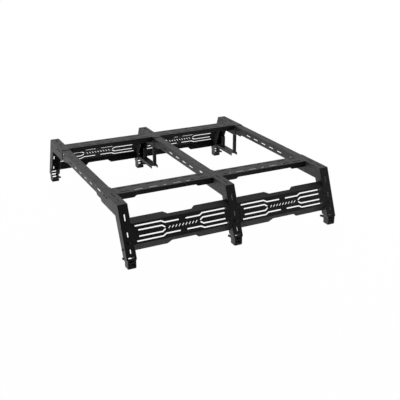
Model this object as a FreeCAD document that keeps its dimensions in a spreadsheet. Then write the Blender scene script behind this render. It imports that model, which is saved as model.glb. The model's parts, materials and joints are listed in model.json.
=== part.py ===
"""Pickup-bed ladder rack: three telescoping crossbars on six leaning uprights.

Millimetres, +Z up, origin at the centre of the footprint on the ground plane.
X runs along the truck (front is -X), Y runs across it (left side is -Y).
The three crossbars are fixed; the left and right side frames slide on them along Y.
Every left-side piece is drawn once, and the right side is the same piece turned about Z.
"""
import FreeCAD, Part
import Sketcher
import math
import os
import re

Vector = FreeCAD.Vector
Rotation = FreeCAD.Rotation
Placement = FreeCAD.Placement

# ---------------------------------------------------------------- driving dimensions, mm
DIMENSIONS = {
    # whole rack
    "leg_pitch": 700,          # between neighbouring uprights, along X
    "rack_height": 358,        # ground plane to the top faces
    "top_half": 707.5,         # centre plane to the outer top edge of an upright
    "foot_half": 827,          # centre plane to the outer face of a foot
    "bend_height": 60,         # where the leaning leg meets the vertical foot
    "slot_width": 7,           # of the lashing slots in bars, arms and legs, for M6 bolts
    # uprights, folded from plate
    "plate": 2.5,
    "upright_width": 63,
    "arm_inner": 415,          # centre plane to the open inner end of an arm
    "arm_depth": 80,
    "arm_chamfer": 10,
    "flange_top": 665,         # inboard edge of the leg flange, at the arm
    "flange_bottom": 765,      # inboard edge of the leg flange, at the foot
    "leg_bottom": 58,
    "bend_radius": 2.5,
    "arm_slot_first": 550,
    "arm_slot_pitch": 102,
    "arm_slot_length": 58,
    "window_width": 42,        # opening across the leg web just above the foot
    "window_height": 10,
    # crossbars
    "bar_side_gap": 0.5,       # sliding clearance to the arm, each side and on top
    "bar_half": 625,
    "bar_depth": 53.4,
    "bar_end_depth": 66.4,
    "bar_step_inner": 320,
    "bar_step_outer": 340,
    "bar_slot_pitch": 108,
    "bar_slot_length": 56,
    "bar_slot_height": 325,
    "clamp_slot_inner": 345,
    "clamp_slot_outer": 600,
    "clamp_slot_width": 10,
    "clamp_height": 336,       # level of the clamping bolts
    "clamp_bolt_inner": 479,
    "clamp_bolt_outer": 523,
    # rails
    "rail_sheet": 2.5,
    "rail_width": 110,
    "rail_centre": 490,
    "rail_depth": 28,
    "rail_end_depth": 39,
    "rail_tab": 106,
    "rail_tab_slant": 14,
    "rail_slot_row": 29,
    "rail_slot_inner": 78.5,
    "rail_slot_middle": 173.5,
    "rail_slot_outer": 266,
    "rail_slot_length": 60,
    "rail_slot_width": 9,      # for M8 bolts
    "rail_hole_length": 26,
    # side panels
    "panel_sheet": 2,
    "panel_station": 179.5,    # panel centre, measured down the leg from its top edge
    "panel_face_half": 61,
    "panel_lip": 35,           # rise and set-back of each bent lip
    "panel_flange": 34,
    "panel_flange_half": 56,
    "panel_bolt_half": 29,
    "panel_bolt_inset": 22,
    "panel_slot_width": 7.6,
    "notch_top_half": 103,
    "notch_floor_half": 78,
    "notch_depth": 16,
    # feet and their rubber pads
    "foot_width": 52,
    "foot_depth": 50,
    "pad_thickness": 5,
    "foot_lip": 28,
    "foot_slot_width": 10,
    "foot_slot_length": 37,
    "foot_slot_low": 24,
    "foot_slot_high": 45,
    "joggle_start": 50,
    "joggle_end": 55,
    "joggle_top": 57.5,
    "ear_reach": 742,
    "ear_height": 38,
    "ear_half": 7,
    "ear_bolt": 752,
    "tongue_width": 48,
    "web_bolt_station": 225,   # down the leg, as are the next two
    "cross_bolt_station": 260,
    "cross_bolt_inset": 41,
    # hanger brackets under two right-hand arms
    "hanger_inner": 478,
    "hanger_outer": 796,
    "hanger_bottom": 90,
    "hanger_depth": 23,
    "strut_width": 23,
    "strut_face": 470,
    "strut_depth": 18,
    "strut_top": 349,
    "post_face": 658,
    "post_top": 199,
    # M8 fasteners
    "bolt_radius": 4,
    "hole_radius": 4.5,
    "hex_radius": 7.5,
    "head_height": 5.3,
    "dome_height": 4,
    "nut_height": 6.8,
    "washer_radius": 8,
    "washer_sheet": 1.6,
}

# the leg leans outwards: sine and cosine of its lean from the vertical
LEAN_LENGTH = "hypot(foot_half - top_half; rack_height - bend_height)"
SIN_LEAN = "((foot_half - top_half) / " + LEAN_LENGTH + ")"
COS_LEAN = "((rack_height - bend_height) / " + LEAN_LENGTH + ")"

doc = FreeCAD.newDocument("ladder_rack")
sheet = doc.addObject("Spreadsheet::Sheet", "Sheet")
for row, (alias, size) in enumerate(DIMENSIONS.items(), start=1):
    sheet.set("A%d" % row, alias)
    sheet.set("B%d" % row, str(size))
    sheet.setAlias("B%d" % row, alias)
doc.recompute()

# a scratch object that reads the value of an expression
probe = doc.addObject("App::FeaturePython", "Probe")
probe.addProperty("App::PropertyFloat", "Reading")

parts = []          # every sub-part that is exported, in order


# ---------------------------------------------------------------- expressions
def bound(expression):
    """The expression with each dimension's name pointing at its cell."""
    def cell(word):
        return "Sheet." + word.group() if word.group() in DIMENSIONS else word.group()
    return re.sub(r"[a-z_]+", cell, str(expression))


def number(expression):
    """The value that an expression of dimensions has now."""
    probe.setExpression("Reading", bound(expression))
    probe.recompute()
    return probe.Reading


def on_leg(station, inset):
    """Y and Z of a point a distance down the left leg's outer face and in from it."""
    y = "-(top_half + (%s) * %s - (%s) * %s)" % (station, SIN_LEAN, inset, COS_LEAN)
    z = "rack_height - (%s) * %s - (%s) * %s" % (station, COS_LEAN, inset, SIN_LEAN)
    return y, z


def web_line(height, inset="0"):
    """Y of the left leg web, at a height, a thickness in from its outer face."""
    run = "(rack_height - (%s)) * (foot_half - top_half) / (rack_height - bend_height)" % height
    return "-(top_half + %s - (%s) / %s)" % (run, inset, COS_LEAN)


# ---------------------------------------------------------------- sketches
def new_body(label):
    body = doc.addObject("PartDesign::Body", label)
    body.Label = label
    parts.append(body)
    return body


def new_sketch(body, name, plane, offset="0"):
    """A sketch on one of the body's own origin planes, moved along its normal."""
    sketch = body.newObject("Sketcher::SketchObject", name)
    base = [item for item in body.Origin.OriginFeatures if item.Role == plane][0]
    sketch.AttachmentSupport = (base, [""])
    sketch.MapMode = "FlatFace"
    sketch.setExpression("AttachmentOffset.Base.z", bound(offset))
    return sketch


def pin(sketch, geometry, point, x, y):
    """Ties one point of a sketch's geometry to a place given by two expressions."""
    for kind, expression in (("DistanceX", x), ("DistanceY", y)):
        index = sketch.addConstraint(
            Sketcher.Constraint(kind, -1, 1, geometry, point, number(expression)))
        sketch.setExpression("Constraints[%d]" % index, bound(expression))


def outline(sketch, corners):
    """A closed polygon through corners that are pairs of expressions."""
    places = [Vector(number(x), number(y), 0) for x, y in corners]
    first = sketch.GeometryCount
    count = len(places)
    for step in range(count):
        sketch.addGeometry(Part.LineSegment(places[step], places[(step + 1) % count]))
    for step in range(count):
        following = first + (step + 1) % count
        sketch.addConstraint(Sketcher.Constraint("Coincident", first + step, 2, following, 1))
    for step, (x, y) in enumerate(corners):
        pin(sketch, first + step, 1, x, y)


def rectangle(sketch, low_x, low_y, high_x, high_y):
    outline(sketch, [(low_x, low_y), (high_x, low_y), (high_x, high_y), (low_x, high_y)])


def circle(sketch, x, y, radius):
    centre = Vector(number(x), number(y), 0)
    index = sketch.addGeometry(Part.Circle(centre, Vector(0, 0, 1), number(radius)))
    pin(sketch, index, 3, x, y)
    size = sketch.addConstraint(Sketcher.Constraint("Radius", index, number(radius)))
    sketch.setExpression("Constraints[%d]" % size, bound(radius))


def slot(sketch, x, y, length, width, upright=False):
    """A round-ended slot, along the sketch's X, or along its Y when upright."""
    reach = "((%s) - (%s)) / 2" % (length, width)
    if upright:
        ends = [(x, "(%s) - %s" % (y, reach)), (x, "(%s) + %s" % (y, reach))]
    else:
        ends = [("(%s) - %s" % (x, reach), y), ("(%s) + %s" % (x, reach), y)]
    radius = number(width) / 2
    start, finish = [Vector(number(a), number(b), 0) for a, b in ends]
    turn = math.pi / 2 if upright else 0
    side = Vector(-math.sin(turn), math.cos(turn), 0) * radius
    axis = Vector(0, 0, 1)
    first = sketch.GeometryCount
    sketch.addGeometry(Part.ArcOfCircle(
        Part.Circle(start, axis, radius), turn + math.pi / 2, turn + math.pi * 3 / 2))
    sketch.addGeometry(Part.LineSegment(start - side, finish - side))
    sketch.addGeometry(Part.ArcOfCircle(
        Part.Circle(finish, axis, radius), turn - math.pi / 2, turn + math.pi / 2))
    sketch.addGeometry(Part.LineSegment(finish + side, start + side))
    for before, after in ((0, 1), (1, 2), (2, 3), (3, 0)):
        sketch.addConstraint(Sketcher.Constraint("Tangent", first + before, 2, first + after, 1))
    sketch.addConstraint(Sketcher.Constraint("Equal", first, first + 2))
    size = sketch.addConstraint(Sketcher.Constraint("Radius", first, radius))
    sketch.setExpression("Constraints[%d]" % size, bound("(%s) / 2" % width))
    pin(sketch, first, 3, *ends[0])
    pin(sketch, first + 2, 3, *ends[1])


# ---------------------------------------------------------------- solid features
def pad(body, sketch, length):
    """Adds material to both sides of the sketch, length in all."""
    feature = body.newObject("PartDesign::Pad", sketch.Name + "_pad")
    feature.Profile = sketch
    feature.SideType = "Symmetric"
    feature.setExpression("Length", bound(length))
    return feature


def pocket(body, sketch, length=None):
    """Cuts to both sides of the sketch: right through, or length in all."""
    feature = body.newObject("PartDesign::Pocket", sketch.Name + "_pocket")
    feature.Profile = sketch
    feature.SideType = "Symmetric"
    if length is None:
        feature.Type = "ThroughAll"
    else:
        feature.setExpression("Length", bound(length))
    return feature


def box(body, kind, name, low, high):
    """An AdditiveBox or SubtractiveBox between two corners given by expressions."""
    feature = body.newObject("PartDesign::" + kind, name)
    for size, axis, first, last in zip(("Length", "Width", "Height"), "xyz", low, high):
        feature.setExpression(size, bound("(%s) - (%s)" % (last, first)))
        feature.setExpression("Placement.Base." + axis, bound(first))
    return feature


def leaning_hole(body, name, station):
    """A bolt hole square to the leg's outer face, a distance down the leg."""
    hole = body.newObject("PartDesign::SubtractiveCylinder", name)
    hole.Placement = Placement(Vector(), Rotation(Vector(0, 0, 1), INTO_LEG))
    y, z = on_leg(station, "-plate")
    for field, expression in (("Placement.Base.y", y), ("Placement.Base.z", z),
                              ("Radius", "hole_radius"), ("Height", "4 * plate")):
        hole.setExpression(field, bound(expression))


def round_bends(body, wanted, radius="bend_radius"):
    """Fillets the edges that the test picks, as a folded sheet has them."""
    doc.recompute()
    base = body.Tip
    names = ["Edge%d" % index for index, edge in enumerate(base.Shape.Edges, start=1)
             if wanted(edge)]
    fillet = body.newObject("PartDesign::Fillet", body.Name + "_bends")
    fillet.Base = (base, names)
    fillet.setExpression("Radius", bound(radius))
    return fillet


def spans(edge, axis_index, least):
    """Whether a straight edge runs at least this far along one axis."""
    ends = [vertex.Point[axis_index] for vertex in edge.Vertexes]
    return len(ends) == 2 and abs(ends[0] - ends[1]) >= least


def at(edge, axis_index, place):
    """Whether every end of an edge lies at a place on one axis."""
    return all(abs(vertex.Point[axis_index] - place) < 0.01 for vertex in edge.Vertexes)


def put(body, side, x="0", y="0", z="0", lean=0.0):
    """Places a left-side piece on its side: -1 is left, +1 is right, turned about Z."""
    spot = Vector(number(x) * -side, number(y), number(z))
    placed = Placement(spot, Rotation(Vector(1, 0, 0), lean))
    if side > 0:
        placed = Placement(Vector(), Rotation(Vector(0, 0, 1), 180)).multiply(placed)
    body.Placement = placed


# ---------------------------------------------------------------- crossbars
def make_crossbar(label, x):
    """An open-bottomed channel with deeper ends, which slides inside two arms."""
    body = new_body(label)
    top = "rack_height - plate - bar_side_gap"
    mid_floor = top + " - bar_depth"
    end_floor = top + " - bar_end_depth"
    half_width = "(upright_width / 2 - plate - bar_side_gap)"
    profile = new_sketch(body, label + "_side", "YZ_Plane")
    outline(profile, [
        ("-bar_half", top), ("bar_half", top), ("bar_half", end_floor),
        ("bar_step_outer", end_floor), ("bar_step_inner", mid_floor),
        ("-bar_step_inner", mid_floor), ("-bar_step_outer", end_floor),
        ("-bar_half", end_floor)])
    pad(body, profile, "2 * " + half_width)
    hollow = new_sketch(body, label + "_hollow", "XZ_Plane")
    rectangle(hollow, "-%s + plate" % half_width, "bend_height",
              "%s - plate" % half_width, top + " - plate")
    pocket(body, hollow)
    top_level = number(top)
    round_bends(body, lambda edge: spans(edge, 1, 500) and at(edge, 2, top_level)
                and abs(abs(edge.Vertexes[0].X) - number(half_width)) < 0.01, "bend_radius - 1")
    openings = new_sketch(body, label + "_openings", "YZ_Plane")
    for step in range(-2, 3):
        slot(openings, "%d * bar_slot_pitch" % step, "bar_slot_height",
             "bar_slot_length", "slot_width")
    for sign in "+-":
        slot(openings, sign + "(clamp_slot_inner + clamp_slot_outer) / 2", "clamp_height",
             "clamp_slot_outer - clamp_slot_inner", "clamp_slot_width")
    pocket(body, openings)
    put(body, -1, x)


# ---------------------------------------------------------------- uprights
def make_upright(label, side, x, panel_sides):
    """A folded channel: a level arm that receives a crossbar, and a leaning leg."""
    body = new_body(label)
    arm_floor = "rack_height - arm_depth"
    profile = new_sketch(body, label + "_side", "YZ_Plane")
    outline(profile, [
        ("-arm_inner", "rack_height"),
        ("-top_half", "rack_height"),
        (web_line("leg_bottom"), "leg_bottom"),
        ("-flange_bottom", "leg_bottom"),
        ("-flange_top", arm_floor),
        ("-arm_inner - arm_chamfer", arm_floor),
        ("-arm_inner", arm_floor + " + arm_chamfer")])
    pad(body, profile, "upright_width")
    hollow = new_sketch(body, label + "_hollow", "YZ_Plane")
    ceiling = "rack_height - plate"
    below = "leg_bottom - 20"
    outline(hollow, [
        ("-arm_inner + 20", ceiling), (web_line(ceiling, "plate"), ceiling),
        (web_line(below, "plate"), below), ("-arm_inner + 20", below)])
    pocket(body, hollow, "upright_width - 2 * plate")
    half = number("upright_width / 2")
    height = number("rack_height")
    crest = -number("top_half")

    def is_bend(edge):
        flank = at(edge, 0, half) or at(edge, 0, -half)
        along_arm = flank and at(edge, 2, height)
        down_leg = flank and spans(edge, 2, 250) and edge.Vertexes[0].Y < crest + 1
        across = spans(edge, 0, 50) and at(edge, 2, height) and at(edge, 1, crest)
        return along_arm or (down_leg and edge.Vertexes[1].Y < crest + 1) or across

    round_bends(body, is_bend)
    lashing = new_sketch(body, label + "_arm_slots", "XY_Plane")
    for step in range(2):
        slot(lashing, "0", "-(arm_slot_first + %d * arm_slot_pitch)" % step,
             "arm_slot_length", "slot_width", upright=True)
    pocket(body, lashing)
    web = new_sketch(body, label + "_web_slots", "XZ_Plane")
    for station, length in ((78, 40), (178, 30), (275, 26)):
        slot(web, "0", "rack_height - %d * %s" % (station, COS_LEAN),
             "%d * %s" % (length, COS_LEAN), "slot_width", upright=True)
    slot(web, "0", on_leg("web_bolt_station + 87", "0")[1], "window_width", "window_height")
    pocket(body, web)
    leaning_hole(body, label + "_web_hole", "web_bolt_station")
    bolts = new_sketch(body, label + "_flange_holes", "YZ_Plane")
    for reach in ("clamp_bolt_inner", "clamp_bolt_outer"):
        circle(bolts, "-" + reach, "clamp_height", "hole_radius")
    circle(bolts, *on_leg("cross_bolt_station", "cross_bolt_inset"), "hole_radius")
    pocket(body, bolts)
    for panel_side in panel_sides:
        holes = new_sketch(body, label + "_panel_holes", "YZ_Plane",
                           "%d * (upright_width / 2)" % (panel_side * -side))
        for sign in "+-":
            station = "panel_station %s panel_bolt_half" % sign
            circle(holes, *on_leg(station, "panel_bolt_inset"), "hole_radius")
        pocket(body, holes, "upright_width / 3")
    put(body, side, x)


# ---------------------------------------------------------------- feet
def make_foot(label, side, x):
    """A shoe folded from plate, bolted up inside the end of a leg."""
    body = new_body(label)
    half = "(foot_width / 2)"
    wide = "(upright_width / 2 - plate)"
    base = "pad_thickness"
    inner = "foot_half - foot_depth"
    section = new_sketch(body, label + "_section", "XZ_Plane", "foot_half - foot_depth / 2")
    right = [(half, base), (half, "joggle_start"), (wide, "joggle_end"), (wide, "joggle_top"),
             (wide + " - plate", "joggle_top"), (wide + " - plate", "joggle_end + 1"),
             (half + " - plate", "joggle_start + 1"), (half + " - plate", base + " + plate")]
    left = [("-(%s)" % a, b) for a, b in reversed(right)]
    outline(section, right + left)
    pad(body, section, "foot_depth")
    box(body, "AdditiveBox", label + "_web",
        ("-" + half, "-foot_half", base), (half, "-foot_half + plate", "joggle_start"))
    box(body, "AdditiveBox", label + "_lip",
        ("-" + half, "-(%s) - plate" % inner, base), (half, "-(%s)" % inner, "foot_lip"))
    make_foot_cheeks(body, label, wide)
    make_foot_ears(body, label, half, inner)
    slots = new_sketch(body, label + "_slots", "XZ_Plane", "foot_half")
    for height in ("foot_slot_low", "foot_slot_high"):
        slot(slots, "0", height, "foot_slot_length", "foot_slot_width")
    pocket(body, slots, "3 * plate")
    base_hole = new_sketch(body, label + "_base_hole", "XY_Plane")
    circle(base_hole, "0", "-foot_half + foot_depth / 2", "hole_radius")
    pocket(body, base_hole, "foot_lip")
    put(body, side, x)


def make_foot_cheeks(body, label, wide):
    """The parts inside the leg: a cheek against each flange and a tongue behind the web."""
    shoulder = "joggle_top - plate"
    cheek = new_sketch(body, label + "_cheek", "YZ_Plane")
    top_outer = on_leg("web_bolt_station + 3", "plate + 1")
    top_inner = on_leg("web_bolt_station + 3", "cross_bolt_inset + 12")
    collar = "leg_bottom - 1"
    outline(cheek, [top_outer, (web_line(shoulder, "plate + 1"), shoulder),
                    ("-(foot_half - foot_depth)", shoulder), top_inner])
    pad(body, cheek, "2 * " + wide)
    gap = new_sketch(body, label + "_gap", "YZ_Plane")
    rectangle(gap, "-foot_half - 20", shoulder + " - 0.01",
              "-(foot_half - foot_depth) + 60", "rack_height / 2")
    pocket(body, gap, "2 * (%s - plate)" % wide)
    tongue = new_sketch(body, label + "_tongue", "YZ_Plane")
    outline(tongue, [
        on_leg("web_bolt_station - 14", "plate + 0.2"),
        (web_line(collar, "plate + 0.2"), collar),
        ("-foot_half", "joggle_start - 0.01"),
        ("-foot_half + plate", "joggle_start - 0.01"),
        (web_line(collar, "2 * plate + 0.2"), collar),
        on_leg("web_bolt_station - 14", "2 * plate + 0.2")])
    pad(body, tongue, "tongue_width")
    openings = new_sketch(body, label + "_tongue_holes", "XZ_Plane", "foot_half - 40")
    slot(openings, "0", "rack_height - 275 * " + COS_LEAN, "28 * " + COS_LEAN,
         "slot_width + 1", upright=True)
    slot(openings, "0", on_leg("web_bolt_station + 87", "0")[1],
         "window_width - 2", "window_height")
    pocket(body, openings, "78")
    leaning_hole(body, label + "_tongue_bolt_hole", "web_bolt_station")
    holes = new_sketch(body, label + "_cheek_holes", "YZ_Plane")
    circle(holes, *on_leg("cross_bolt_station", "cross_bolt_inset"), "hole_radius")
    pocket(body, holes)


def make_foot_ears(body, label, half, inner):
    """Two ears that reach inboard and carry the clamp bolt."""
    ears = new_sketch(body, label + "_ears", "YZ_Plane")
    slot(ears, "-(%s + ear_reach) / 2 - plate" % inner, "ear_height",
         "%s - ear_reach + 2 * plate" % inner, "2 * ear_half")
    pad(body, ears, "2 * " + half)
    between = new_sketch(body, label + "_between_ears", "YZ_Plane")
    rectangle(between, "-(%s) - 12" % inner, "foot_lip", "-ear_reach + 10", "joggle_start")
    pocket(body, between, "2 * (%s - plate)" % half)
    pin_hole = new_sketch(body, label + "_ear_hole", "YZ_Plane")
    circle(pin_hole, "-ear_bolt", "ear_height", "hole_radius")
    pocket(body, pin_hole)


def make_pad(label, side, x):
    """The rubber pad under a foot."""
    body = new_body(label)
    box(body, "AdditiveBox", label + "_block",
        ("-foot_width / 2", "-foot_half", "0"),
        ("foot_width / 2", "-foot_half + foot_depth", "pad_thickness"))
    hole = new_sketch(body, label + "_hole", "XY_Plane")
    circle(hole, "0", "-foot_half + foot_depth / 2", "hole_radius")
    pocket(body, hole)
    put(body, side, x)


# ---------------------------------------------------------------- rails
def make_rail(label, side, x):
    """A slotted channel, open below, between two neighbouring arms."""
    body = new_body(label)
    half = "(leg_pitch - upright_width) / 2"
    mid_floor = "rack_height - rail_depth"
    end_floor = "rack_height - rail_end_depth"
    tab = "(%s - rail_tab)" % half
    slant = "(%s - rail_tab - rail_tab_slant)" % half
    profile = new_sketch(body, label + "_side", "XZ_Plane")
    right = [(half, "rack_height"), (half, end_floor), (tab, end_floor), (slant, mid_floor)]
    left = [("-(%s)" % a, b) for a, b in reversed(right)]
    outline(profile, right + left)
    pad(body, profile, "rail_width")
    box(body, "SubtractiveBox", label + "_hollow",
        ("-(%s) + rail_sheet" % half, "-rail_width / 2 + rail_sheet", "rack_height - 60"),
        (half + " - rail_sheet", "rail_width / 2 - rail_sheet", "rack_height - rail_sheet"))
    top = number("rack_height")
    edge_y = number("rail_width / 2")
    round_bends(body, lambda edge: spans(edge, 0, 500) and at(edge, 2, top)
                and abs(abs(edge.Vertexes[0].Y) - edge_y) < 0.01, "bend_radius - 1")
    slots = new_sketch(body, label + "_slots", "XY_Plane")
    for row in "+-":
        place = row + "rail_slot_row"
        slot(slots, "0", place, "rail_hole_length", "rail_slot_width")
        for column in ("rail_slot_inner", "rail_slot_middle", "rail_slot_outer"):
            for sign in "+-":
                slot(slots, sign + column, place, "rail_slot_length", "rail_slot_width")
    pocket(body, slots)
    holes = new_sketch(body, label + "_end_holes", "YZ_Plane")
    for reach in ("clamp_bolt_inner", "clamp_bolt_outer"):
        circle(holes, "rail_centre - " + reach, "clamp_height", "hole_radius")
    pocket(body, holes)
    put(body, side, x, "-rail_centre")


# ---------------------------------------------------------------- side panels
def ribbon(path, width):
    """A flat face of even width with round ends, along a path of (x, z) points."""
    wire = Part.makePolygon([Vector(x, 0, z) for x, z in path])
    pieces = []
    for start, finish in zip(wire.Vertexes, wire.Vertexes[1:]):
        run = finish.Point - start.Point
        across = run.cross(Vector(0, 1, 0)).normalize() * (width / 2)
        corners = [start.Point + across, finish.Point + across,
                   finish.Point - across, start.Point - across]
        pieces.append(Part.Face(Part.makePolygon(corners + corners[:1])))
    for vertex in wire.Vertexes:
        disc = Part.Circle(vertex.Point, Vector(0, 1, 0), width / 2)
        pieces.append(Part.Face(Part.Wire(disc.toShape())))
    merged = pieces[0].multiFuse(pieces[1:]).removeSplitter()
    return merged


def panel_cutter():
    """The panel's cut-outs, as one tool: kinked long slots, and short ones at the centre.

    A slot that follows a bent path at an even width is neither a primitive nor a plain
    sketch, so its faces are made in code from the sheet's width.
    """
    width = number("panel_slot_width")
    faces = []
    outer_row = [(296, 44.8), (135, 44.8), (113, 33), (25, 33)]
    inner_row = [(279, 18.2), (133, 18.2), (117, 7)]
    for path in (outer_row, inner_row):
        for mirror_x in (1, -1):
            for mirror_z in (1, -1):
                faces.append(ribbon([(x * mirror_x, z * mirror_z) for x, z in path], width))
    for step in range(-4, 5):
        faces.append(ribbon([(step * 22 - 5, -5), (step * 22 + 5, 5)], width * 0.6))
    depth = Vector(0, 20, 0)
    tool = doc.addObject("Part::Feature", "panel_cutter")
    tool.Shape = Part.makeCompound([face.extrude(depth) for face in faces])
    tool.Placement = Placement(Vector(0, -10, 0), Rotation())
    return tool


def make_panel(label, side, x, tool):
    """A slotted side panel: a flat face with its long edges bent inboard."""
    blank = doc.addObject("PartDesign::Body", label + "_blank")
    rise = "(panel_face_half + panel_lip)"
    fold = "(panel_sheet * 0.414)"
    section = new_sketch(blank, label + "_section", "YZ_Plane")
    upper = [("panel_lip", rise), ("0", "panel_face_half"), ]
    inner = [("panel_sheet", "panel_face_half - " + fold),
             ("panel_lip + panel_sheet * 0.707", rise + " - panel_sheet * 0.707")]
    outline(section, upper + [(a, "-(%s)" % b) for a, b in reversed(upper)]
            + [(a, "-(%s)" % b) for a, b in reversed(inner)] + inner)
    pad(blank, section, "leg_pitch - upright_width")
    half = "((leg_pitch - upright_width) / 2)"
    for name, low_x, high_x in (("front", "-" + half, "-%s + panel_sheet" % half),
                                ("rear", half + " - panel_sheet", half)):
        box(blank, "AdditiveBox", "%s_%s_flange" % (label, name),
            (low_x, "0", "-panel_flange_half"), (high_x, "panel_flange", "panel_flange_half"))
    notches = new_sketch(blank, label + "_notches", "XZ_Plane")
    for sign in ("", "-"):
        outline(notches, [
            ("-notch_top_half - 10", "%s(%s + 10)" % (sign, rise)),
            ("notch_top_half + 10", "%s(%s + 10)" % (sign, rise)),
            ("notch_top_half", "%s%s" % (sign, rise)),
            ("notch_floor_half", "%s(%s - notch_depth)" % (sign, rise)),
            ("-notch_floor_half", "%s(%s - notch_depth)" % (sign, rise)),
            ("-notch_top_half", "%s%s" % (sign, rise))])
    pocket(blank, notches)
    holes = new_sketch(blank, label + "_end_holes", "YZ_Plane")
    for sign in ("", "-"):
        circle(holes, "panel_bolt_inset", sign + "panel_bolt_half", "hole_radius")
    pocket(blank, holes)
    panel = doc.addObject("Part::Cut", label)
    panel.Base = blank
    panel.Tool = tool
    panel.Label = label
    parts.append(panel)
    y, z = on_leg("panel_station", "0")
    put(panel, side, x, y, z, lean=-LEAN_DEGREES)


# ---------------------------------------------------------------- hanger brackets
def make_hanger(label, side, x):
    """A welded bracket: a channel out of the leg, a strut up into the arm and a short post."""
    body = new_body(label)
    half = "(foot_width / 2)"
    strut = "(strut_width / 2)"
    top = "hanger_bottom + hanger_depth"
    box(body, "AdditiveBox", label + "_channel",
        ("-" + half, "-hanger_outer", "hanger_bottom"), (half, "-hanger_inner", top))
    box(body, "SubtractiveBox", label + "_channel_hollow",
        ("-%s + plate" % half, "-hanger_outer - 1", "hanger_bottom - 1"),
        ("%s - plate" % half, "-hanger_inner + 1", top + " - plate"))
    for name, face, crest in (("strut", "strut_face", "strut_top"),
                              ("post", "post_face", "post_top")):
        box(body, "AdditiveBox", "%s_%s" % (label, name),
            ("-" + strut, "-%s - strut_depth" % face, top + " - plate"),
            (strut, "-" + face, crest))
        box(body, "SubtractiveBox", "%s_%s_hollow" % (label, name),
            ("-%s + plate" % strut, "-%s - strut_depth - 1" % face, top),
            ("%s - plate" % strut, "-%s - plate" % face, crest + " + 1"))
    holes = new_sketch(body, label + "_holes", "YZ_Plane")
    circle(holes, "-clamp_bolt_inner", "clamp_height", "hole_radius")
    circle(holes, *on_leg("cross_bolt_station", "cross_bolt_inset"), "hole_radius")
    pocket(body, holes)
    put(body, side, x)


# ---------------------------------------------------------------- fasteners
def master(name, shapes):
    """One fastener, lying along +X, from Part primitives."""
    fused = doc.addObject("Part::MultiFuse", name)
    fused.Shapes = shapes
    doc.recompute()
    return fused


def cylinder(name, radius, length, start="0"):
    """A cylinder along +X."""
    shape = doc.addObject("Part::Cylinder", name)
    shape.setExpression("Radius", bound(radius))
    shape.setExpression("Height", bound(length))
    shape.Placement = Placement(Vector(number(start), 0, 0), Rotation(Vector(0, 1, 0), 90))
    return shape


def hexagon(name, length, start="0"):
    """A hexagonal prism along +X."""
    shape = doc.addObject("Part::Prism", name)
    shape.Polygon = 6
    shape.setExpression("Circumradius", bound("hex_radius"))
    shape.setExpression("Height", bound(length))
    shape.Placement = Placement(Vector(number(start), 0, 0), Rotation(Vector(0, 1, 0), 90))
    return shape


def hex_bolt(name, length):
    """A hexagon-headed bolt whose head's underside is at x = 0."""
    return master(name, [hexagon(name + "_head", "head_height", "-head_height"),
                         cylinder(name + "_shank", "bolt_radius", length)])


def button_bolt(name, length):
    """A bolt with a low domed head and a hexagonal socket, head's underside at x = 0."""
    dome = doc.addObject("Part::Cone", name + "_dome")
    for size, expression in (("Radius1", "washer_radius - 3"), ("Radius2", "washer_radius"),
                             ("Height", "dome_height")):
        dome.setExpression(size, bound(expression))
    dome.Placement = Placement(Vector(-number("dome_height"), 0, 0),
                               Rotation(Vector(0, 1, 0), 90))
    solid = master(name + "_solid", [dome, cylinder(name + "_shank", "bolt_radius", length)])
    socket = hexagon(name + "_socket", "dome_height / 2", "-dome_height")
    socket.setExpression("Circumradius", bound("bolt_radius * 0.7"))
    cut = doc.addObject("Part::Cut", name)
    cut.Base = solid
    cut.Tool = socket
    doc.recompute()
    return cut


def ring(name, outer, length):
    """A nut or a washer, starting at x = 0."""
    bore = cylinder(name + "_bore", "bolt_radius + 0.1", length + " + 2", "-1")
    cut = doc.addObject("Part::Cut", name)
    cut.Base = outer
    cut.Tool = bore
    doc.recompute()
    return cut


def group(label, fastener, places):
    """Copies of one fastener as a single sub-part of separate solids."""
    copies = []
    for placed in places:
        copy = fastener.Shape.copy()
        copy.Placement = placed.multiply(copy.Placement)
        copies.append(copy)
    feature = doc.addObject("Part::Feature", label)
    feature.Shape = Part.makeCompound(copies)
    feature.Label = label
    parts.append(feature)


def facing(x, y, z, direction):
    """A place whose +X points along a direction."""
    return Placement(Vector(x, y, z), Rotation(Vector(1, 0, 0), direction))


def turned(side, placed):
    """The same place on the left (-1) or the right (+1) side."""
    if side < 0:
        return placed
    return Placement(Vector(), Rotation(Vector(0, 0, 1), 180)).multiply(placed)


def stack_across(side, stations, y, z, head_reach, nut_reach):
    """Heads and nuts of bolts that run along X through something, heads outwards.

    The reaches are the distances from each station to the head's and the nut's seats.
    """
    heads = []
    nuts = []
    for x in stations:
        away = 1 if x > 1 else -1
        heads.append(turned(side, facing(
            x * -side + away * -side * head_reach(x), y, z, Vector(away * side, 0, 0))))
        nuts.append(turned(side, facing(
            x * -side - away * -side * nut_reach(x), y, z, Vector(away * side, 0, 0))))
    return heads, nuts


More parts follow.
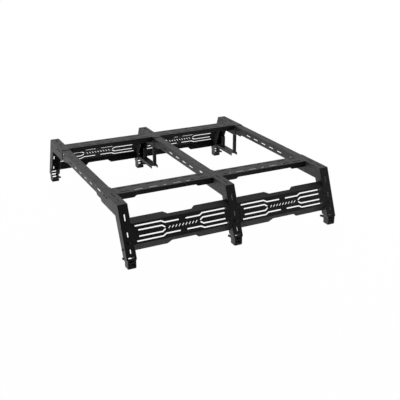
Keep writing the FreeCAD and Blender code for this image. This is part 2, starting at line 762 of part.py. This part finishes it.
def make_fasteners(name, side):
    """Every bolt, nut and washer of one side frame."""
    pitch = number("leg_pitch")
    stations = (-pitch, 0, pitch)
    half = number("upright_width / 2")
    sheet_rail = number("rail_sheet")
    washer = number("washer_sheet")

    # clamp bolts: through rail end, arm, crossbar slot, arm and rail end
    heads, nuts, washers = [], [], []
    for reach in ("clamp_bolt_inner", "clamp_bolt_outer"):
        y, z = -number(reach), number("clamp_height")
        row_heads, row_nuts = stack_across(
            side, stations, y, z,
            lambda x: half + (sheet_rail if abs(x) < 1 else 0),
            lambda x: half + sheet_rail + washer)
        heads += row_heads
        nuts += row_nuts
    for nut in nuts:
        washers.append(nut.multiply(Placement(Vector(-washer, 0, 0), Rotation())))
    group(name + "_clamp_bolts", MASTERS["clamp_bolt"], heads)
    group(name + "_clamp_nuts", MASTERS["nut"], nuts)
    group(name + "_clamp_washers", MASTERS["washer"], washers)

    # panel bolts: head inside the panel's end, nut inside the leg
    heads, nuts = [], []
    seat = half + number("panel_sheet")
    inside = half - number("plate")
    for x, towards in ((-pitch, 1), (0, -1), (0, 1), (pitch, -1)):
        for sign in "+-":
            y, z = on_leg("panel_station %s panel_bolt_half" % sign, "panel_bolt_inset")
            inwards = Vector(towards * side, 0, 0)
            heads.append(turned(side, facing(
                (x + towards * seat) * -side, number(y), number(z), inwards)))
            nuts.append(turned(side, facing(
                (x + towards * inside) * -side, number(y), number(z), inwards)))
    group(name + "_panel_bolts", MASTERS["panel_bolt"], heads)
    group(name + "_panel_nuts", MASTERS["nut"], nuts)

    # foot bolts: one through the web, one across the leg, one across the ears
    y, z = [number(value) for value in on_leg("web_bolt_station", "0")]
    seat = INTO_LEG * (2 * number("plate") + 0.2)
    heads = [turned(side, facing(x, y, z, INTO_LEG)) for x in stations]
    nuts = [turned(side, facing(x, y + seat.y, z + seat.z, INTO_LEG)) for x in stations]
    group(name + "_web_bolts", MASTERS["web_bolt"], heads)
    group(name + "_web_nuts", MASTERS["nut"], nuts)
    y, z = [number(value) for value in on_leg("cross_bolt_station", "cross_bolt_inset")]
    heads, nuts = stack_across(side, stations, y, z, lambda x: half, lambda x: half)
    group(name + "_foot_bolts", MASTERS["foot_bolt"], heads)
    group(name + "_foot_nuts", MASTERS["nut"], nuts)
    ear = number("foot_width / 2")
    heads, nuts = stack_across(side, stations, -number("ear_bolt"), number("ear_height"),
                               lambda x: ear, lambda x: ear)
    group(name + "_ear_bolts", MASTERS["ear_bolt"], heads)
    group(name + "_ear_nuts", MASTERS["nut"], nuts)


# ---------------------------------------------------------------- the assembly
LEAN_DEGREES = math.degrees(math.asin(number(SIN_LEAN)))
INTO_LEG = Vector(0, number(COS_LEAN), -number(SIN_LEAN))

for place, x, panel_sides in (("front", "-leg_pitch", (1,)), ("middle", "0", (-1, 1)),
                              ("rear", "leg_pitch", (-1,))):
    make_crossbar("crossbar_" + place, x)
    for side_name, side in (("left", -1), ("right", 1)):
        make_upright("upright_%s_%s" % (place, side_name), side, x, panel_sides)
        make_foot("foot_%s_%s" % (place, side_name), side, x)
        make_pad("foot_pad_%s_%s" % (place, side_name), side, x)

cutter = panel_cutter()
for place, x in (("front", "-leg_pitch / 2"), ("rear", "leg_pitch / 2")):
    for side_name, side in (("left", -1), ("right", 1)):
        make_rail("rail_%s_%s" % (place, side_name), side, x)
        make_panel("panel_%s_%s" % (place, side_name), side, x, cutter)

make_hanger("hanger_middle", 1, "0")
make_hanger("hanger_rear", 1, "leg_pitch")

MASTERS = {
    "clamp_bolt": button_bolt("clamp_bolt", "80"),
    "web_bolt": button_bolt("web_bolt", "16"),
    "foot_bolt": hex_bolt("foot_bolt", "73"),
    "ear_bolt": hex_bolt("ear_bolt", "62"),
    "panel_bolt": hex_bolt("panel_bolt", "16"),
    "nut": ring("nut", hexagon("nut_blank", "nut_height"), "nut_height"),
    "washer": ring("washer", cylinder("washer_blank", "washer_radius", "washer_sheet"),
                   "washer_sheet"),
}
make_fasteners("left", -1)
make_fasteners("right", 1)

# ---------------------------------------------------------------- check and export
doc.recompute()
for item in doc.Objects:
    if "Invalid" in item.State or "Error" in item.State:
        raise RuntimeError("%s failed: %s" % (item.Name, item.State))
for item in parts:
    if item.Shape.isNull() or not item.Shape.isValid():
        raise RuntimeError(item.Label + " has no valid shape")

os.makedirs("parts", exist_ok=True)
for item in parts:
    item.Shape.exportStep("parts/%s.step" % item.Label)
print("sub-parts:", len(parts))
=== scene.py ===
"""Looks for the pickup-bed ladder rack: powder-coated channels, detailed hardware, studio."""
import json
import math

import bmesh
import bpy
from mathutils import Matrix, Vector


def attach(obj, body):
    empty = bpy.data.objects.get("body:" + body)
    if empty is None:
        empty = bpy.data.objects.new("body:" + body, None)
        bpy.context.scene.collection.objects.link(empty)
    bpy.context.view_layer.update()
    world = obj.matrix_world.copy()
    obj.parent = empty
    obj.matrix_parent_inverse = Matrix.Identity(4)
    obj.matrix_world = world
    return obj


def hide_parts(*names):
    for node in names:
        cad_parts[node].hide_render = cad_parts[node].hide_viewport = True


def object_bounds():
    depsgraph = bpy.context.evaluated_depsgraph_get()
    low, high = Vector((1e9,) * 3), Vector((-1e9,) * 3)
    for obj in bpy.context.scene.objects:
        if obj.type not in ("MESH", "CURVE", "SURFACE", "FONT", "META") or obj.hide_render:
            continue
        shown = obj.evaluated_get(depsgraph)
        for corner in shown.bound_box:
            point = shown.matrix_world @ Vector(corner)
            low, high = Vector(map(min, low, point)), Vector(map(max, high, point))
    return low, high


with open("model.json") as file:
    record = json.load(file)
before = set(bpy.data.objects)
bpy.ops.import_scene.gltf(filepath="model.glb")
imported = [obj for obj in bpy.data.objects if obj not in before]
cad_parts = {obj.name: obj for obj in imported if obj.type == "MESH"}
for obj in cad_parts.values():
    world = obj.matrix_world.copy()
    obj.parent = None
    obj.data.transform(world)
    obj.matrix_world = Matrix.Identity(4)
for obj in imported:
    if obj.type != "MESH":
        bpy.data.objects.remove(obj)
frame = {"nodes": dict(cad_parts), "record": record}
cad_low, cad_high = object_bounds()

MM = 0.001
SIDES = ("left", "right")
STATIONS = ("front", "middle", "rear")
LEG_LEAN = math.atan2(827 - 707.5, 358 - 60)     # of the legs, from the vertical

# hardware sizes, metres: M8 bolts, nuts and washers, as the CAD solids
SHANK = 4 * MM
THREAD_PITCH = 1.25 * MM
THREAD_DEPTH = 0.55 * MM
THREAD_LENGTH = 24 * MM
HEX_CORNER = 7.5 * MM
HEAD_HEIGHT = 5.3 * MM
NUT_HEIGHT = 6.8 * MM
WASHER_RADIUS = 8 * MM
WASHER_SHEET = 1.6 * MM
DOME_HEIGHT = 4 * MM
HOLE = 4.5 * MM                # radius of the pads' bolt holes
ROUND_STEPS = 24               # vertices round every hardware and pad ring

# the hangers' welded members, metres, as in the CAD
HANGER_PLACES = {"middle": 0.0, "rear": 0.7}
CHANNEL_TOP = 113 * MM
MEMBER_FACES = {"strut": 470 * MM, "post": 658 * MM}
MEMBER_HALF = 11.5 * MM
MEMBER_DEPTH = 18 * MM
WELD_RADIUS = 2 * MM


# ---------------------------------------------------------------- node helpers
class Nodes:
    """A short way to write a material's node tree."""

    def __init__(self, name):
        self.material = bpy.data.materials.new(name)
        self.material.use_nodes = True
        self.tree = self.material.node_tree
        self.shader = self.tree.nodes["Principled BSDF"]
        self.place = self.add("ShaderNodeTexCoord").outputs["Object"]

    def add(self, kind, links=None, **settings):
        node = self.tree.nodes.new(kind)
        for key, value in settings.items():
            setattr(node, key, value)
        for socket, source in (links or {}).items():
            self.feed(node.inputs[socket], source)
        return node

    def feed(self, socket, source):
        if isinstance(source, bpy.types.NodeSocket):
            self.tree.links.new(source, socket)
        else:
            socket.default_value = source

    def noise(self, scale, detail=4.0, roughness=0.6):
        node = self.add("ShaderNodeTexNoise",
                        {"Vector": self.place, "Scale": scale, "Detail": detail,
                         "Roughness": roughness})
        return node.outputs["Fac"]

    def stretch(self, source, low, high, to_low=0.0, to_high=1.0):
        """Maps a range of values to another, clamped."""
        node = self.add("ShaderNodeMapRange",
                        {"Value": source, "From Min": low, "From Max": high,
                         "To Min": to_low, "To Max": to_high})
        return node.outputs["Result"]

    def maths(self, operation, first, second):
        node = self.add("ShaderNodeMath", {0: first, 1: second}, operation=operation)
        return node.outputs["Value"]

    def mix(self, amount, first, second):
        """Mixes two colours."""
        node = self.add("ShaderNodeMix", data_type="RGBA")
        sockets = [s for s in node.inputs if s.type == "RGBA"]
        self.feed(node.inputs[0], amount)
        self.feed(sockets[0], first)
        self.feed(sockets[1], second)
        return [s for s in node.outputs if s.type == "RGBA"][0]

    def edge(self, radius, strength):
        """About 1 on edges narrower than the radius, 0 on flat faces."""
        rounded = self.add("ShaderNodeBevel", {"Radius": radius}, samples=6)
        flat = self.add("ShaderNodeNewGeometry")
        dot = self.add("ShaderNodeVectorMath",
                       {0: rounded.outputs["Normal"], 1: flat.outputs["Normal"]},
                       operation="DOT_PRODUCT")
        return self.stretch(dot.outputs["Value"], 1.0 - strength, 1.0, 1.0, 0.0)

    def bump(self, height, distance, strength, normal=None):
        links = {"Height": height, "Distance": distance, "Strength": strength}
        if normal is not None:
            links["Normal"] = normal
        return self.add("ShaderNodeBump", links).outputs["Normal"]

    def upward(self):
        """1 on surfaces that face up, 0 on the rest."""
        normal = self.add("ShaderNodeNewGeometry").outputs["Normal"]
        parts = self.add("ShaderNodeSeparateXYZ", {0: normal})
        return self.stretch(parts.outputs["Z"], 0.6, 1.0)


def grey(value, warmth=0.0):
    return (value * (1 + warmth), value, value * (1 - warmth), 1.0)


# ---------------------------------------------------------------- materials
def powder_coat():
    """Fine-textured satin black, a little paler and smoother on worn edges, dusty on top."""
    n = Nodes("black_powder_coat")
    tone = n.stretch(n.noise(9, 6), 0.35, 0.65)
    coat = n.mix(tone, grey(0.030), grey(0.040))
    speckle = n.stretch(n.noise(1400, 2), 0.62, 0.72)
    coat = n.mix(n.maths("MULTIPLY", speckle, 0.3), coat, grey(0.075))
    dust = n.maths("MULTIPLY", n.upward(), n.stretch(n.noise(26, 8, 0.7), 0.45, 0.8))
    coat = n.mix(n.maths("MULTIPLY", dust, 0.2), coat, grey(0.12, 0.06))
    worn = n.maths("MULTIPLY", n.edge(1.3 * MM, 0.25), n.stretch(n.noise(60, 5), 0.42, 0.7))
    coat = n.mix(n.maths("MULTIPLY", worn, 0.5), coat, grey(0.16))
    n.feed(n.shader.inputs["Base Color"], coat)
    rough = n.stretch(n.noise(35, 5), 0.3, 0.7, 0.48, 0.62)
    n.feed(n.shader.inputs["Roughness"], rough)
    n.feed(n.shader.inputs["Specular IOR Level"], 0.4)
    rounded = n.add("ShaderNodeBevel", {"Radius": 0.8 * MM}, samples=6).outputs["Normal"]
    peel = n.bump(n.noise(420, 3), 0.00025, 0.35, rounded)
    n.feed(n.shader.inputs["Normal"], n.bump(n.noise(2200, 2), 0.00006, 0.5, peel))
    return n.material


def black_oxide():
    """Oiled black steel of the button heads, rubbed bright at its rims."""
    n = Nodes("black_oxide_steel")
    tone = n.stretch(n.noise(300, 5), 0.35, 0.7)
    steel = n.mix(tone, grey(0.045), grey(0.075, 0.04))
    worn = n.maths("MULTIPLY", n.edge(0.6 * MM, 0.3), n.stretch(n.noise(500, 4), 0.35, 0.65))
    n.feed(n.shader.inputs["Base Color"], n.mix(worn, steel, grey(0.18, 0.02)))
    n.feed(n.shader.inputs["Metallic"], 0.4)
    n.feed(n.shader.inputs["Roughness"], n.stretch(n.noise(700, 4), 0.3, 0.7, 0.42, 0.58))
    n.feed(n.shader.inputs["Normal"], n.bump(n.noise(1800, 3), 0.00004, 0.4))
    return n.material


def black_zinc():
    """Black zinc plating: dark, slightly iridescent, with grey steel at the corners."""
    n = Nodes("black_zinc_plating")
    tone = n.stretch(n.noise(220, 5), 0.3, 0.7)
    plate = n.mix(tone, (0.050, 0.052, 0.062, 1.0), (0.095, 0.090, 0.080, 1.0))
    worn = n.maths("MULTIPLY", n.edge(0.6 * MM, 0.3), n.stretch(n.noise(600, 4), 0.3, 0.6))
    n.feed(n.shader.inputs["Base Color"], n.mix(worn, plate, grey(0.42, 0.02)))
    n.feed(n.shader.inputs["Metallic"], 0.9)
    n.feed(n.shader.inputs["Roughness"], n.stretch(n.noise(800, 4), 0.3, 0.7, 0.28, 0.45))
    n.feed(n.shader.inputs["Normal"], n.bump(n.noise(1500, 3), 0.00004, 0.4))
    return n.material


def moulded_rubber():
    """Matt black rubber with a pebbled skin and dusty scuffs."""
    n = Nodes("moulded_rubber")
    scuffed = n.stretch(n.noise(55, 7, 0.7), 0.5, 0.75)
    n.feed(n.shader.inputs["Base Color"], n.mix(scuffed, grey(0.018), grey(0.045, 0.05)))
    n.feed(n.shader.inputs["Roughness"], n.stretch(n.noise(90, 4), 0.3, 0.7, 0.72, 0.9))
    n.feed(n.shader.inputs["Specular IOR Level"], 0.3)
    pebbles = n.add("ShaderNodeTexVoronoi", {"Vector": n.place, "Scale": 900.0})
    n.feed(n.shader.inputs["Normal"], n.bump(pebbles.outputs["Distance"], 0.0001, 0.6))
    return n.material


def weld_metal():
    """A painted-over weld: the coat, glossier, over ripples."""
    n = Nodes("painted_weld")
    tone = n.stretch(n.noise(200, 4), 0.35, 0.65)
    n.feed(n.shader.inputs["Base Color"], n.mix(tone, grey(0.028), grey(0.05)))
    n.feed(n.shader.inputs["Roughness"], n.stretch(n.noise(150, 3), 0.3, 0.7, 0.35, 0.5))
    n.feed(n.shader.inputs["Normal"], n.bump(n.noise(900, 3), 0.0001, 0.5))
    return n.material


MATERIALS = {
    "powder_coat": powder_coat(),
    "black_bolt": black_oxide(),
    "zinc_bolt": black_zinc(),
    "rubber": moulded_rubber(),
    "weld": weld_metal(),
}


def paint_cad_nodes():
    slots = {part["node"]: part["material_slot"] for part in frame["record"]["subparts"]}
    for name, node in frame["nodes"].items():
        node.data.materials.clear()
        node.data.materials.append(MATERIALS[slots[name]])


# ---------------------------------------------------------------- mesh helpers
def finish_mesh(name, mesh, material):
    """A Blender object from a bmesh, with smooth shading on its shallow edges."""
    bmesh.ops.remove_doubles(mesh, verts=mesh.verts, dist=1e-6)
    bmesh.ops.recalc_face_normals(mesh, faces=mesh.faces)
    for face in mesh.faces:
        face.smooth = True
    for edge in mesh.edges:
        if len(edge.link_faces) == 2 and edge.calc_face_angle(0.0) > math.radians(32):
            edge.smooth = False
    data = bpy.data.meshes.new(name)
    mesh.to_mesh(data)
    mesh.free()
    data.materials.append(material)
    piece = bpy.data.objects.new(name, data)
    bpy.context.scene.collection.objects.link(piece)
    return piece


def skin(mesh, rings, close=False):
    """Quads between rings of vertices, with flat ends unless it closes on itself."""
    pairs = list(zip(rings, rings[1:]))
    if close:
        pairs.append((rings[-1], rings[0]))
    for lower, upper in pairs:
        count = len(lower)
        for step in range(count):
            after = (step + 1) % count
            mesh.faces.new((lower[step], lower[after], upper[after], upper[step]))
    if not close:
        mesh.faces.new(rings[0][::-1])
        mesh.faces.new(rings[-1])


def ring(mesh, place, radii, x):
    """Vertices round the X axis, one for each radius, moved to a place."""
    count = len(radii)
    verts = []
    for step, radius in enumerate(radii):
        angle = 2 * math.pi * step / count
        spot = Vector((x, radius * math.cos(angle), radius * math.sin(angle)))
        verts.append(mesh.verts.new(place @ spot))
    return verts


def hexagon_radii(corner):
    """The distance to a hexagon's outline, at each of the round steps."""
    radii = []
    for step in range(ROUND_STEPS):
        angle = (2 * math.pi * step / ROUND_STEPS) % (math.pi / 3) - math.pi / 6
        radii.append(corner * math.cos(math.pi / 6) / math.cos(angle))
    return radii


def circle_radii(radius):
    return [radius] * ROUND_STEPS


def capped_hexagon(corner, limit):
    """A hexagon whose corners are turned down to a circle."""
    return [min(radius, limit) for radius in hexagon_radii(corner)]


# ---------------------------------------------------------------- hardware shapes
def shank_rings(mesh, place, start, length):
    """A plain shank, then thread ridges and a chamfered tip."""
    rings = [ring(mesh, place, circle_radii(SHANK), start)]
    thread = min(THREAD_LENGTH, length - 3 * MM)
    x = length - thread
    rings.append(ring(mesh, place, circle_radii(SHANK), x))
    turns = int((thread - 1.5 * MM) / THREAD_PITCH)
    for _ in range(turns):
        for part, radius in ((0.35, SHANK - THREAD_DEPTH), (0.65, SHANK), (1.0, SHANK)):
            rings.append(ring(mesh, place, circle_radii(radius), x + part * THREAD_PITCH))
        x += THREAD_PITCH
    rings.append(ring(mesh, place, circle_radii(SHANK - THREAD_DEPTH), length))
    return rings


def add_hex_bolt(mesh, place, length):
    """A hexagon head with a turned top and a washer face, on a threaded shank."""
    top = -HEAD_HEIGHT
    flat = HEX_CORNER * math.cos(math.pi / 6)
    rings = [
        ring(mesh, place, circle_radii(flat * 0.93), top),
        ring(mesh, place, capped_hexagon(HEX_CORNER, flat), top + 0.35 * MM),
        ring(mesh, place, hexagon_radii(HEX_CORNER), top + 1.1 * MM),
        ring(mesh, place, hexagon_radii(HEX_CORNER), -0.6 * MM),
        ring(mesh, place, circle_radii(flat * 0.96), -0.45 * MM),
        ring(mesh, place, circle_radii(flat * 0.96), 0)]
    skin(mesh, rings + shank_rings(mesh, place, 0, length))


def add_button_bolt(mesh, place, length):
    """A low dome with a hexagonal socket, on a threaded shank."""
    rings = [
        ring(mesh, place, hexagon_radii(2.8 * MM), -DOME_HEIGHT + 2.2 * MM),
        ring(mesh, place, hexagon_radii(2.8 * MM), -DOME_HEIGHT + 0.3 * MM),
        ring(mesh, place, circle_radii(3.2 * MM), -DOME_HEIGHT)]
    for step in range(1, 8):
        turn = step / 7 * math.pi / 2
        radius = 3.2 * MM + (WASHER_RADIUS - 3.2 * MM) * math.sin(turn)
        x = -0.6 * MM - (DOME_HEIGHT - 0.6 * MM) * math.cos(turn)
        rings.append(ring(mesh, place, circle_radii(radius), x))
    rings.append(ring(mesh, place, circle_radii(WASHER_RADIUS), -0.15 * MM))
    rings.append(ring(mesh, place, circle_radii(WASHER_RADIUS - 0.2 * MM), 0))
    skin(mesh, rings + shank_rings(mesh, place, 0, length))


def add_nut(mesh, place, _length):
    """A hexagon nut, turned down at both faces, with a countersunk bore."""
    flat = HEX_CORNER * math.cos(math.pi / 6)
    bore = SHANK + 0.1 * MM
    profile = [
        (circle_radii(bore), 0.9 * MM), (circle_radii(bore + 0.7 * MM), 0),
        (circle_radii(flat * 0.96), 0), (capped_hexagon(HEX_CORNER, flat * 1.03), 0.25 * MM),
        (hexagon_radii(HEX_CORNER), 0.9 * MM),
        (hexagon_radii(HEX_CORNER), NUT_HEIGHT - 0.9 * MM),
        (capped_hexagon(HEX_CORNER, flat * 1.03), NUT_HEIGHT - 0.25 * MM),
        (circle_radii(flat * 0.96), NUT_HEIGHT),
        (circle_radii(bore + 0.7 * MM), NUT_HEIGHT), (circle_radii(bore), NUT_HEIGHT - 0.9 * MM)]
    skin(mesh, [ring(mesh, place, radii, x) for radii, x in profile], close=True)


def add_washer(mesh, place, _length):
    """A washer with rolled edges."""
    bore = SHANK + 0.1 * MM
    roll = 0.3 * MM
    profile = [(bore, roll), (bore + roll, 0), (WASHER_RADIUS - roll, 0), (WASHER_RADIUS, roll),
               (WASHER_RADIUS, WASHER_SHEET - roll), (WASHER_RADIUS - roll, WASHER_SHEET),
               (bore + roll, WASHER_SHEET), (bore, WASHER_SHEET - roll)]
    skin(mesh, [ring(mesh, place, circle_radii(radius), x) for radius, x in profile],
         close=True)


# ---------------------------------------------------------------- hardware places
def solids_of(node):
    """The vertex places of each separate solid in a CAD node."""
    mesh = bmesh.new()
    mesh.from_mesh(frame["nodes"][node].data)
    bmesh.ops.remove_doubles(mesh, verts=mesh.verts, dist=1e-6)
    left = set(mesh.verts)
    solids = []
    while left:
        grown = [left.pop()]
        for vert in grown:
            for edge in vert.link_edges:
                other = edge.other_vert(vert)
                if other in left:
                    left.remove(other)
                    grown.append(other)
        solids.append([vert.co.copy() for vert in grown])
    mesh.free()
    return sorted(solids, key=lambda spots: tuple(min(spots, key=lambda p: tuple(p))))


def centre_line(spots, axis):
    """The middle of the spots, seen along an axis."""
    flat = [spot - axis * spot.dot(axis) for spot in spots]
    low = Vector([min(spot[k] for spot in flat) for k in range(3)])
    high = Vector([max(spot[k] for spot in flat) for k in range(3)])
    return (low + high) / 2


def seat_of(spots, axis, head):
    """A place at the fastener's seat with +X along its shank, and the shank's length."""
    along = [spot.dot(axis) for spot in spots]
    first, last = min(along), max(along)
    centre = centre_line(spots, axis)
    reach = head + 0.5 * MM
    wide_first = max((s - centre - axis * s.dot(axis)).length
                     for s, a in zip(spots, along) if a < first + reach)
    wide_last = max((s - centre - axis * s.dot(axis)).length
                    for s, a in zip(spots, along) if a > last - reach)
    forward = axis if wide_first >= wide_last else -axis
    start = first if wide_first >= wide_last else -last
    turn = forward.to_track_quat("X", "Z").to_matrix().to_4x4()
    seat = centre + forward * (start + head)
    return Matrix.Translation(seat) @ turn, last - first - head


def rebuild_hardware(node, shape, head, slot, lean=0.0):
    """One piece in place of a CAD group of bolts, nuts or washers."""
    side = "left_side" if node.startswith("left") else "right_side"
    outward = -1 if side == "left_side" else 1
    axis = Vector((1, 0, 0))
    if lean:
        axis = Vector((0, -outward * math.cos(lean), -math.sin(lean)))
    mesh = bmesh.new()
    for spots in solids_of(node):
        place, length = seat_of(spots, axis, head)
        shape(mesh, place, length)
    piece = finish_mesh(node + "_detailed", mesh, MATERIALS[slot])
    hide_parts(node)
    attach(piece, side)


def rebuild_all_hardware():
    for side in SIDES:
        for kind in ("panel", "foot", "ear"):
            rebuild_hardware("%s_%s_bolts" % (side, kind), add_hex_bolt, HEAD_HEIGHT,
                             "zinc_bolt")
            rebuild_hardware("%s_%s_nuts" % (side, kind), add_nut, 0, "zinc_bolt")
        rebuild_hardware(side + "_clamp_bolts", add_button_bolt, DOME_HEIGHT, "black_bolt")
        rebuild_hardware(side + "_clamp_nuts", add_nut, 0, "zinc_bolt")
        rebuild_hardware(side + "_clamp_washers", add_washer, 0, "zinc_bolt")
        rebuild_hardware(side + "_web_bolts", add_button_bolt, DOME_HEIGHT, "black_bolt",
                         LEG_LEAN)
        rebuild_hardware(side + "_web_nuts", add_nut, 0, "zinc_bolt", LEG_LEAN)


# ---------------------------------------------------------------- rubber pads
def block_ring(mesh, place, half_x, half_y, corner, z):
    """A level ring of vertices round a rectangle with rounded corners."""
    verts = []
    per_corner = ROUND_STEPS // 4
    for quarter in range(4):
        sign_x = (1, -1, -1, 1)[quarter]
        sign_y = (1, 1, -1, -1)[quarter]
        for step in range(per_corner):
            angle = math.pi / 2 * (quarter + step / (per_corner - 1))
            spot = Vector((sign_x * (half_x - corner) + corner * math.cos(angle),
                           sign_y * (half_y - corner) + corner * math.sin(angle), z))
            verts.append(mesh.verts.new(place @ spot))
    return verts


def rebuild_pad(station, side):
    """A moulded pad: rounded corners, a grooved rim and a bolt hole flared at the bottom."""
    node = "foot_pad_%s_%s" % (station, side)
    corners = [vert.co for vert in frame["nodes"][node].data.vertices]
    low = Vector([min(spot[k] for spot in corners) for k in range(3)])
    high = Vector([max(spot[k] for spot in corners) for k in range(3)])
    half = (high - low) / 2
    place = Matrix.Translation((low + high) / 2)
    bevel = 0.8 * MM
    corner = 4 * MM
    flare = HOLE + bevel
    profile = [(HOLE, HOLE, HOLE, half.z), (HOLE, HOLE, HOLE, bevel - half.z),
               (flare, flare, flare, -half.z)]
    rim = ((bevel, -half.z), (0, bevel - half.z), (0, -0.5 * MM), (bevel, -0.25 * MM),
           (bevel, 0.25 * MM), (0, 0.5 * MM), (0, half.z - bevel), (bevel, half.z))
    for sink, z in rim:
        profile.append((half.x - sink, half.y - sink, corner, z))
    mesh = bmesh.new()
    skin(mesh, [block_ring(mesh, place, *sizes) for sizes in profile], close=True)
    piece = finish_mesh(node + "_moulded", mesh, MATERIALS["rubber"])
    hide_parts(node)
    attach(piece, side + "_side")


def rebuild_all_pads():
    for station in STATIONS:
        for side in SIDES:
            rebuild_pad(station, side)


# ---------------------------------------------------------------- welds of the hangers
def weld_bead(name, corners, radius):
    """A rippled bead laid along a path of corners."""
    spots = []
    for start, finish in zip(corners, corners[1:]):
        steps = max(2, round((finish - start).length / (0.6 * MM)))
        spots += [start.lerp(finish, step / steps) for step in range(steps)]
    spots.append(corners[-1])
    mesh = bmesh.new()
    rings = []
    for index, spot in enumerate(spots):
        ahead = spots[min(index + 1, len(spots) - 1)] - spots[max(index - 1, 0)]
        turn = ahead.to_track_quat("X", "Z").to_matrix().to_4x4()
        thick = radius * (0.86 + 0.14 * abs(math.cos(index * math.pi / 4)))
        if index in (0, len(spots) - 1):
            thick = radius * 0.45
        place = Matrix.Translation(spot) @ turn
        rings.append(ring(mesh, place, [thick] * 10, 0))
    skin(mesh, rings)
    piece = finish_mesh(name, mesh, MATERIALS["weld"])
    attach(piece, "right_side")


def weld_hangers():
    """Beads round three sides of each hanger's strut and post, on top of its channel."""
    for station, x in HANGER_PLACES.items():
        low_x = x - MEMBER_HALF
        high_x = x + MEMBER_HALF
        for member, face in MEMBER_FACES.items():
            back = face + MEMBER_DEPTH
            path = ((low_x, back), (low_x, face), (high_x, face), (high_x, back))
            corners = [Vector((along, across, CHANNEL_TOP)) for along, across in path]
            weld_bead("weld_%s_%s" % (station, member), corners, WELD_RADIUS)


# ---------------------------------------------------------------- camera, light and floor
def make_camera():
    data = bpy.data.cameras.new("camera")
    data.sensor_width = 36
    data.lens = 61.81
    camera = bpy.data.objects.new("camera", data)
    turn = (Matrix.Rotation(math.radians(-26.585), 4, "Z")
            @ Matrix.Rotation(math.radians(90 - 22.145), 4, "X")
            @ Matrix.Rotation(math.radians(-0.05), 4, "Z"))
    camera.matrix_world = Matrix.Translation((-1.9216, -4.1376, 1.8555)) @ turn
    bpy.context.scene.collection.objects.link(camera)
    bpy.context.scene.camera = camera


def make_floor():
    """A wide pale floor that glows a little, so that shadows on it stay faint."""
    mesh = bmesh.new()
    bmesh.ops.create_grid(mesh, x_segments=2, y_segments=2, size=60)
    n = Nodes("studio_floor")
    n.feed(n.shader.inputs["Base Color"], (0.01, 0.01, 0.01, 1.0))
    n.feed(n.shader.inputs["Roughness"], 0.9)
    n.feed(n.shader.inputs["Specular IOR Level"], 0.1)
    n.feed(n.shader.inputs["Emission Color"], (1.0, 1.0, 1.0, 1.0))
    n.feed(n.shader.inputs["Emission Strength"], 0.985)
    floor = finish_mesh("studio_floor", mesh, n.material)
    floor.location.z = cad_low.z - 0.0005
    floor.visible_glossy = False
    floor.visible_diffuse = False
    floor.visible_shadow = False


def area_light(name, place, target, size, power):
    data = bpy.data.lights.new(name, "AREA")
    data.shape = "DISK"
    data.size = size
    data.energy = power
    light = bpy.data.objects.new(name, data)
    light.location = place
    light.rotation_euler = (Vector(target) - Vector(place)).to_track_quat("-Z", "Y").to_euler()
    bpy.context.scene.collection.objects.link(light)


# soft light off the studio's walls: the way to it, how narrow its patch is, how strong
SOFT_LIGHTS = {
    "wall beyond the right side": ((0.25, 0.90, 0.35), 3, 1.0),
    "corner beyond the front": ((-0.70, 0.70, 0.00), 8, 1.0),
    "wall beyond the tail": ((1.00, 0.00, 0.00), 8, 4.0),
    "floor to the right": ((0.00, 0.70, -1.00), 6, 2.5),
    "floor ahead": ((-0.70, 0.00, -1.00), 6, 1.5),
    "floor behind": ((0.70, 0.00, -1.00), 6, 0.5),
}


def make_studio():
    """A plain white studio whose walls throw soft light from a few directions."""
    world = bpy.data.worlds.new("studio")
    world.use_nodes = True
    bpy.context.scene.world = world
    tree = world.node_tree
    background = tree.nodes["Background"]
    background.inputs["Color"].default_value = (1.0, 1.0, 1.0, 1.0)
    direction = tree.nodes.new("ShaderNodeTexCoord").outputs["Generated"]

    def maths(operation, first, second):
        node = tree.nodes.new("ShaderNodeMath")
        node.operation = operation
        for socket, source in zip(node.inputs, (first, second)):
            if isinstance(source, bpy.types.NodeSocket):
                tree.links.new(source, socket)
            else:
                socket.default_value = source
        return node.outputs["Value"]

    total = 0.0
    for towards, sharpness, strength in SOFT_LIGHTS.values():
        facing = tree.nodes.new("ShaderNodeVectorMath")
        facing.operation = "DOT_PRODUCT"
        tree.links.new(direction, facing.inputs[0])
        facing.inputs[1].default_value = Vector(towards).normalized()
        lobe = maths("POWER", maths("MAXIMUM", facing.outputs["Value"], 0.0), sharpness)
        total = maths("ADD", total, maths("MULTIPLY", lobe, strength))
    seen = tree.nodes.new("ShaderNodeLightPath").outputs["Is Camera Ray"]
    tree.links.new(maths("MAXIMUM", total, seen), background.inputs["Strength"])


def make_light():
    area_light("top_light", (0.0, 1.5, 5.0), (0, 0, 0.2), 3.0, 45)
    make_studio()
    bpy.context.scene.view_settings.view_transform = "Standard"


paint_cad_nodes()
rebuild_all_hardware()
rebuild_all_pads()
weld_hangers()
make_floor()
make_light()
make_camera()
